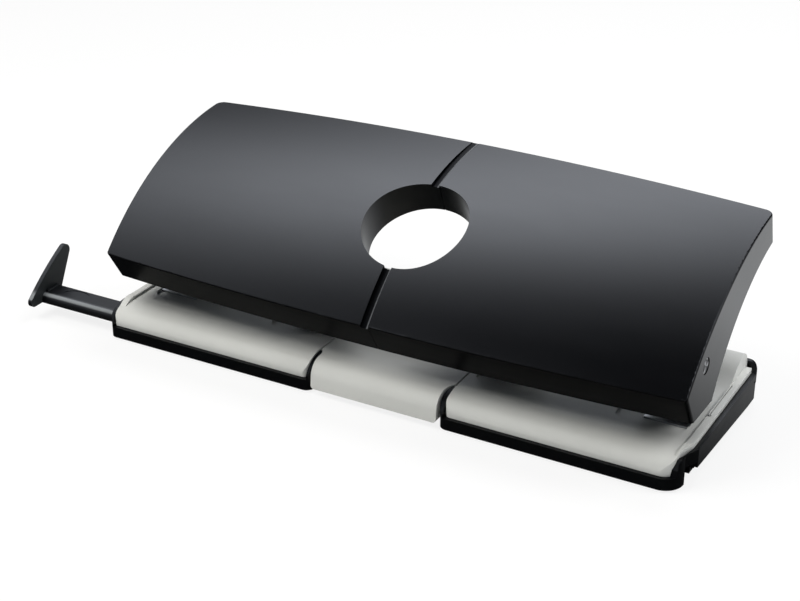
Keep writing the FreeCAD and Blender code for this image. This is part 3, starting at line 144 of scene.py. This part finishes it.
class Nodes:
    """A short way to build a node tree."""

    def __init__(self, tree, fresh=True):
        self.tree = tree
        if fresh:
            tree.nodes.clear()

    def add(self, kind, inputs=None, **settings):
        node = self.tree.nodes.new(kind)
        for key, value in settings.items():
            setattr(node, key, value)
        for key, value in (inputs or {}).items():
            if isinstance(value, bpy.types.NodeSocket):
                self.tree.links.new(value, node.inputs[key])
            else:
                node.inputs[key].default_value = value
        return node

    def calc(self, operation, *values):
        return self.add("ShaderNodeMath", dict(enumerate(values)), operation=operation).outputs[0]

    def place(self):
        return self.add("ShaderNodeTexCoord").outputs["Object"]

    def split(self, vector):
        return self.add("ShaderNodeSeparateXYZ", {0: vector}).outputs

    def blend(self, factor, one, two):
        return self.add("ShaderNodeMixShader", {0: factor, 1: one.outputs[0], 2: two.outputs[0]})

    def finish(self, kind, shader):
        out = self.add(kind)
        self.tree.links.new(shader.outputs[0], out.inputs["Surface"])


def noise(n, place, scale, detail=2.0, rough=0.5, stretch=None):
    if stretch:
        place = n.add("ShaderNodeMapping", {"Vector": place, "Scale": stretch}).outputs["Vector"]
    return n.add("ShaderNodeTexNoise", {"Vector": place, "Scale": scale, "Detail": detail,
                                        "Roughness": rough}).outputs["Fac"]


def spread(n, value, start, end, low=0.0, high=1.0, kind="LINEAR"):
    """Carry the stretch from start to end over to the one from low to high."""
    return n.add("ShaderNodeMapRange", {"Value": value, "From Min": start, "From Max": end,
                                        "To Min": low, "To Max": high},
                 interpolation_type=kind).outputs["Result"]


def ramp(n, value, start, end, low=0.0, high=1.0):
    return spread(n, value, start, end, low, high, "SMOOTHSTEP")


def clouded(n, value, low=0.0, high=1.0):
    """Stretch the middle of a noise, where nearly all of it lies."""
    return spread(n, value, 0.3, 0.7, low, high)


def tint(n, value, dark, light):
    mix = n.add("ShaderNodeMix", {"Factor": value}, data_type="RGBA")
    mix.inputs["A"].default_value = (*dark, 1)
    mix.inputs["B"].default_value = (*light, 1)
    return mix.outputs["Result"]


def paint(material, factor, colour):
    """Lay a second colour over a material's own where the factor is one."""
    tree = material.node_tree
    shader = next(node for node in tree.nodes if node.type == "BSDF_PRINCIPLED")
    mix = tree.nodes.new("ShaderNodeMix")
    mix.data_type = "RGBA"
    tree.links.new(factor, mix.inputs["Factor"])
    tree.links.new(shader.inputs["Base Color"].links[0].from_socket, mix.inputs["A"])
    mix.inputs["B"].default_value = (*colour, 1)
    tree.links.new(mix.outputs["Result"], shader.inputs["Base Color"])


# Materials

def new_material(name):
    material = bpy.data.materials.new(name)
    material.use_nodes = True
    return material


def plastic(name, dark, light, rough, grain, grain_size=0.0005, specular=0.5, haze=0.03):
    """Moulded plastic: slight colour clouding, uneven gloss and a fine grain."""
    material = new_material(name)
    n = Nodes(material.node_tree)
    place = n.place()
    cloud = noise(n, place, PLASTIC_CLOUD, 3.0)
    wipe = noise(n, place, PLASTIC_WIPE, 4.0, 0.6, PLASTIC_WIPE_STRETCH)
    grit = noise(n, place, 1 / grain_size, 3.0, 0.55)
    bump = n.add("ShaderNodeBump", {"Height": grit, "Strength": grain, "Distance": PLASTIC_GRAIN_HEIGHT})
    shader = n.add("ShaderNodeBsdfPrincipled", {
        "Base Color": tint(n, clouded(n, cloud), dark, light),
        "Roughness": clouded(n, wipe, rough - haze, rough + haze),
        "Specular IOR Level": specular,
        "Normal": bump.outputs["Normal"]})
    n.finish("ShaderNodeOutputMaterial", shader)
    return material


def steel(name, dark, light, rough, haze=0.07):
    """Rolled or ground steel: fine lines along the part and cloudy gloss."""
    material = new_material(name)
    n = Nodes(material.node_tree)
    place = n.place()
    cloud = noise(n, place, STEEL_CLOUD, 3.0)
    line = noise(n, place, STEEL_LINE, 3.0, 0.6, STEEL_LINE_STRETCH)
    bump = n.add("ShaderNodeBump", {"Height": line, "Strength": STEEL_LINE_STRENGTH,
                                    "Distance": STEEL_LINE_HEIGHT})
    shader = n.add("ShaderNodeBsdfPrincipled", {
        "Base Color": tint(n, clouded(n, cloud), dark, light), "Metallic": 1.0,
        "Roughness": clouded(n, line, rough - haze, rough + haze),
        "Normal": bump.outputs["Normal"]})
    n.finish("ShaderNodeOutputMaterial", shader)
    return material


def seam_plastic():
    """The floor of the seam: dark, with a painted highlight: a light line where the edge of the lip along it
    would catch the light.
    """
    material = plastic("seam_black", (0.0006, 0.0007, 0.0010), (0.0009, 0.0010, 0.0014), 0.5,
                       grain=0.05, grain_size=0.0004, specular=0.1)
    n = Nodes(material.node_tree, fresh=False)
    x = n.split(n.place())["X"]
    off = n.calc("ABSOLUTE", n.calc("SUBTRACT", x, BASE_MIDDLE.x + LIP_HIGHLIGHT_X))
    painted_lip_highlight = ramp(n, off, LIP_HIGHLIGHT_HALF_WIDTH, 1.6 * LIP_HIGHLIGHT_HALF_WIDTH, 1.0, 0.0)
    # painted highlight: a light line along the lip's edge, standing in for the light that edge catches
    paint(material, painted_lip_highlight, (0.085, 0.088, 0.094))
    return material


def facing(n, direction, start, end):
    """One on faces that look in a direction, nought on others."""
    normal = n.add("ShaderNodeNewGeometry").outputs["Normal"]
    likeness = n.add("ShaderNodeVectorMath", {0: normal, 1: direction}, operation="DOT_PRODUCT")
    return ramp(n, likeness.outputs["Value"], start, end)


def rail_plastic():
    """The paper guide: a painted highlight runs along its long front fold, and the face of its stop is
    painted lighter, as if lit from that side.
    """
    material = plastic("rail_grey", (0.003, 0.0033, 0.004), (0.005, 0.0054, 0.0062), 0.36, grain=0.10)
    n = Nodes(material.node_tree, fresh=False)
    # painted light: faces that look along +x, the stop's face among them, are painted lighter, as if lit
    paint(material, facing(n, (1.0, 0.0, 0.0), 0.6, 0.95), (0.030, 0.034, 0.035))
    # painted highlight along the rounded front fold, kept below the fold's top
    low = ramp(n, n.split(n.place())["Z"], FOLD_HIGHLIGHT_LOW, FOLD_HIGHLIGHT_HIGH, 1.0, 0.0)
    painted_fold_highlight = n.calc("MULTIPLY", facing(n, (0.0, -0.6, 0.8), 0.93, 0.995), low)
    paint(material, painted_fold_highlight, (0.17, 0.18, 0.185))
    return material


def axle_steel():
    """The axle's end: darkened steel with light spokes round its middle."""
    material = steel("axle_end_steel", (0.05, 0.05, 0.055), (0.08, 0.08, 0.085), 0.4)
    n = Nodes(material.node_tree, fresh=False)
    place = n.split(n.place())
    along = n.calc("SUBTRACT", place["Y"], PIVOT.y)
    up = n.calc("SUBTRACT", place["Z"], PIVOT.z)
    turn = n.calc("MULTIPLY", n.calc("ARCTAN2", up, along), SPOKES)
    paint(material, ramp(n, n.calc("COSINE", turn), 0.1, 0.6), (0.55, 0.55, 0.56))
    return material


MATERIALS = {
    "handle": plastic("handle_black", (0.0005, 0.0006, 0.0009), (0.0009, 0.0011, 0.0016), 0.23,
                      grain=0.012, haze=0.015),
    "bevel": plastic("handle_edge_black", (0.0005, 0.0006, 0.0010), (0.0009, 0.0011, 0.0016), 0.36,
                     grain=0.03, specular=0.03, haze=0.02),
    "hole": plastic("hole_wall_black", (0.0005, 0.0006, 0.0009), (0.0009, 0.0011, 0.0016), 0.3,
                    grain=0.02, specular=0.35, haze=0.02),
    "seam": seam_plastic(),
    "inside": plastic("handle_inside_black", (0.0015, 0.0016, 0.0020), (0.0025, 0.0027, 0.0032), 0.6,
                      grain=0.10, specular=0.1),
    "frame": plastic("frame_black", (0.0008, 0.0010, 0.0014), (0.0014, 0.0017, 0.0022), 0.42,
                     grain=0.14, specular=0.32),
    "deck": plastic("deck_grey", (0.62, 0.625, 0.60), (0.665, 0.67, 0.645), 0.45,
                    grain=0.08, grain_size=0.0006, specular=0.3),
    "rail": rail_plastic(),
    "axle": axle_steel(),
    "rubber": plastic("foot_rubber", (0.006, 0.006, 0.006), (0.010, 0.010, 0.010), 0.8,
                      grain=0.3, grain_size=0.0004, specular=0.2),
    "sheet": steel("zinc_sheet", (0.40, 0.41, 0.42), (0.50, 0.51, 0.52), 0.38),
    "tool": steel("ground_steel", (0.50, 0.50, 0.51), (0.60, 0.60, 0.61), 0.25),
    "wire": steel("spring_wire", (0.42, 0.42, 0.44), (0.52, 0.52, 0.54), 0.30),
}
STARTS = [("handle_shell", "handle"), ("base_frame", "frame"), ("chip_drawer", "frame"),
          ("deck_cover", "deck"), ("centre_bridge", "deck"), ("paper_guide", "rail"),
          ("rubber_feet", "rubber"), ("base_plate", "sheet"), ("lever_plate", "sheet"),
          ("punch_bracket", "sheet"), ("return_spring", "wire"), ("pivot_axle", "axle")]


def material_for(node_name):
    """Pins, rods, rings, rivets and screws have no start of their own: they are ground steel."""
    for start, key in STARTS:
        if node_name.startswith(start):
            return MATERIALS[key]
    return MATERIALS["tool"]


def dress_nodes():
    for name, node in nodes.items():
        node.data.materials.clear()
        node.data.materials.append(material_for(name))


# Handle shells with even shading: the crown's normals come from its own curve

FINISHES = ("handle", "bevel", "inside", "seam", "hole")


def crown_height(x, t):
    swell = 1 - (x / HALF_LENGTH) ** 2
    front, back = -BOW_FRONT * swell, CHORD + BOW_BACK * swell
    rise = CROWN - CROWN_DROP * (1 - swell)
    half = (back - front) / 2
    radius = (half ** 2 + rise ** 2) / (2 * rise)
    return rise - radius + math.sqrt(max(radius ** 2 - (t - front - half) ** 2, 0.0))


def crown_normal(x, t):
    step = 0.0002
    slope_x = (crown_height(x + step, t) - crown_height(x - step, t)) / (2 * step)
    slope_t = (crown_height(x, t + step) - crown_height(x, t - step)) / (2 * step)
    return (OUT - Vector((slope_x, 0, 0)) - ALONG * slope_t).normalized()


def finish_of(face):
    """Which of the finishes a face of a shell has."""
    place = face.center - CREASE
    t, n = place.dot(ALONG), place.dot(OUT)
    facing_out = face.normal.dot(OUT)
    depth = crown_height(place.x, t) - n
    off = Vector((place.x, t - FINGER_T))
    if abs(off.length - FINGER_R) < HOLE_NEAR and abs(facing_out) < 0.3:
        return "hole"
    if -SEAM_WIDTH < place.x < SEAM_OVER and SEAM_TOP < depth < SEAM_FLOOR:
        return "seam" if facing_out > 0.5 else "bevel"
    if face.normal.x ** 2 > 0.3 and abs(place.x) > HALF_LENGTH - END_WALL:
        return "handle"
    if face.normal.y < -0.3 and t < BEVEL_DEPTH:
        return "bevel" if n < -CREASE_ROUND else "handle"
    on_crown = abs(depth) < SKIN_NEAR and facing_out > 0.2
    return "handle" if on_crown or t > CHORD - BACK_EDGE else "inside"


def end_normals(face):
    """The normals of an end face's corners, or none where the face is another one."""
    flat = Vector((math.copysign(1.0, face.normal.x), 0, 0))
    return {loop: flat for loop in face.loop_indices} if face.normal.dot(flat) > 0.9999 else {}


def crown_normals(mesh, face):
    """The normals of the corners of a face on the crown, or none where the face is another one."""
    found = {}
    for loop in face.loop_indices:
        place = mesh.vertices[mesh.loops[loop].vertex_index].co - CREASE
        x, t, n = place.x, place.dot(ALONG), place.dot(OUT)
        if abs(n - crown_height(x, t)) > CROWN_NEAR:
            return {}
        found[loop] = crown_normal(x, t)
    first = next(iter(found.values()))
    return found if face.normal.dot(first) > 0.9 else {}


def exact_normals(mesh):
    normals = [Vector(corner.vector) for corner in mesh.corner_normals]
    for face in mesh.polygons:
        for loop, normal in (end_normals(face) or crown_normals(mesh, face)).items():
            normals[loop] = normal
    return normals


def link_piece(mesh):
    piece = bpy.data.objects.new(mesh.name, mesh)
    bpy.context.scene.collection.objects.link(piece)
    return piece


def shell_piece(side):
    """A copy of a shell's surface whose crown and flat ends carry exact normals."""
    node_name = "handle_shell_" + side
    mesh = nodes[node_name].data.copy()
    mesh.name = "handle_skin_" + side
    normals = exact_normals(mesh)
    mesh.polygons.foreach_set("use_smooth", [True] * len(mesh.polygons))
    mesh.materials.clear()
    for key in FINISHES:
        mesh.materials.append(MATERIALS[key])
    finishes = [FINISHES.index(finish_of(face)) for face in mesh.polygons]
    mesh.polygons.foreach_set("material_index", finishes)
    mesh.normals_split_custom_set(normals)
    piece = link_piece(mesh)
    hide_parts(node_name)
    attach(piece, "handle")


# Return springs: each a copy of its coil with a mesh of its own, tied to the base

def spring_piece(number):
    node_name = "return_spring_%d" % number
    mesh = nodes[node_name].data.copy()
    mesh.name = "coil_%d" % number
    piece = link_piece(mesh)
    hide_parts(node_name)
    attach(piece, "base")
    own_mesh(piece)


# Studio

def seen_directly(n, path):
    return n.calc("MAXIMUM", path.outputs["Is Camera Ray"], path.outputs["Is Transmission Ray"])


def floor_material():
    """White paper: it takes the shadow, and mirrored surfaces see it brighten towards the back."""
    material = new_material("floor_white")
    n = Nodes(material.node_tree)
    place = n.place()
    cloud = clouded(n, noise(n, place, 3.0))
    paper = n.add("ShaderNodeBsdfDiffuse", {"Color": tint(n, cloud, (0.80, 0.80, 0.80), (0.82, 0.82, 0.82))})
    glow = n.add("ShaderNodeEmission", {"Color": (1, 1, 1, 1), "Strength": 1.0})
    sheen = spread(n, n.split(place)["Y"], *FLOOR_SHEEN_Y, *FLOOR_SHEEN)
    mirrored = n.add("ShaderNodeEmission", {"Color": (0.96, 0.98, 1, 1), "Strength": sheen})
    path = n.add("ShaderNodeLightPath")
    near = n.blend(n.calc("MULTIPLY", seen_directly(n, path), FLOOR_GLOW), paper, glow)
    mix = n.blend(path.outputs["Is Glossy Ray"], near, mirrored)
    n.finish("ShaderNodeOutputMaterial", mix)
    return material


def add_floor():
    data = bpy.data.meshes.new("floor")
    corners = [(x * FLOOR_HALF, y * FLOOR_HALF, 0) for x, y in ((-1, -1), (1, -1), (1, 1), (-1, 1))]
    data.from_pydata(corners, [], [(0, 1, 2, 3)])
    data.materials.append(floor_material())
    link_piece(data)


def bump_of(n, value, middle, width):
    """A soft bump over a value: one in the middle, falling away on both sides."""
    off = n.calc("DIVIDE", n.calc("SUBTRACT", value, middle), width)
    return n.calc("POWER", math.e, n.calc("MULTIPLY", n.calc("MULTIPLY", off, off), -1.0))


def soft_boxes(n, x, y):
    """Two leaning boxes of light, diagonally opposite: the second is the first turned half round."""
    turned = n.calc("MULTIPLY", n.calc("SIGN", x), -1.0)
    across, along = n.calc("MULTIPLY", x, turned), n.calc("MULTIPLY", y, turned)
    line = n.calc("MULTIPLY_ADD", along, BOX_SLANT, across)
    box = n.calc("MULTIPLY", bump_of(n, line, *BOX_LINE), bump_of(n, along, *BOX_REACH))
    return n.calc("MULTIPLY", box, SOFT_BOX)


def front_strip(n, x, y):
    strip = n.calc("MULTIPLY", bump_of(n, y, *STRIP_Y), bump_of(n, x, *STRIP_X))
    return n.calc("MULTIPLY", strip, FRONT_STRIP)


def add_world():
    """White where it is seen, plain light for matt surfaces, soft boxes and a strip for mirrored ones."""
    world = bpy.data.worlds.new("studio")
    bpy.context.scene.world = world
    world.use_nodes = True
    n = Nodes(world.node_tree)
    way = n.split(n.add("ShaderNodeTexCoord").outputs["Generated"])
    x, y = way["X"], way["Y"]
    above = spread(n, way["Z"], 0.0, HORIZON_FADE)
    level = n.calc("MULTIPLY", n.calc("ADD", soft_boxes(n, x, y), front_strip(n, x, y)), above)
    plain = n.add("ShaderNodeBackground", {"Color": (0.80, 0.89, 1, 1), "Strength": AMBIENT})
    mirror = n.add("ShaderNodeBackground", {"Color": (0.88, 0.92, 1, 1), "Strength": level})
    white = n.add("ShaderNodeBackground", {"Color": (1, 1, 1, 1), "Strength": 1.0})
    path = n.add("ShaderNodeLightPath")
    unseen = n.blend(path.outputs["Is Glossy Ray"], plain, mirror)
    n.finish("ShaderNodeOutputWorld", n.blend(seen_directly(n, path), unseen, white))


def add_light(name, place, target, size, power, colour=(1, 1, 1)):
    data = bpy.data.lights.new(name, "AREA")
    data.shape = "RECTANGLE"
    data.size = data.size_y = size
    data.energy = power
    data.color = colour
    lamp = bpy.data.objects.new(name, data)
    lamp.location = place
    lamp.rotation_euler = (Vector(target) - Vector(place)).to_track_quat("-Z", "Y").to_euler()
    lamp.visible_glossy = False
    bpy.context.scene.collection.objects.link(lamp)


def add_studio():
    add_floor()
    add_world()
    add_light("key", (-0.42, -0.37, 0.85), (0, -0.04, 0), 0.6, 9.4, (1, 0.985, 0.945))
    add_light("side", (0.9, 0.4, 0.75), (0.12, 0, 0), 0.5, 7.6)
    add_light("top", (0.1, 0.42, 0.95), (0.02, 0, 0), 0.5, 5.6)
    bpy.context.scene.view_settings.view_transform = "Standard"


dress_nodes()
for side in ("left", "right"):
    shell_piece(side)
for number in range(1, 5):
    spring_piece(number)
add_studio()
add_camera()
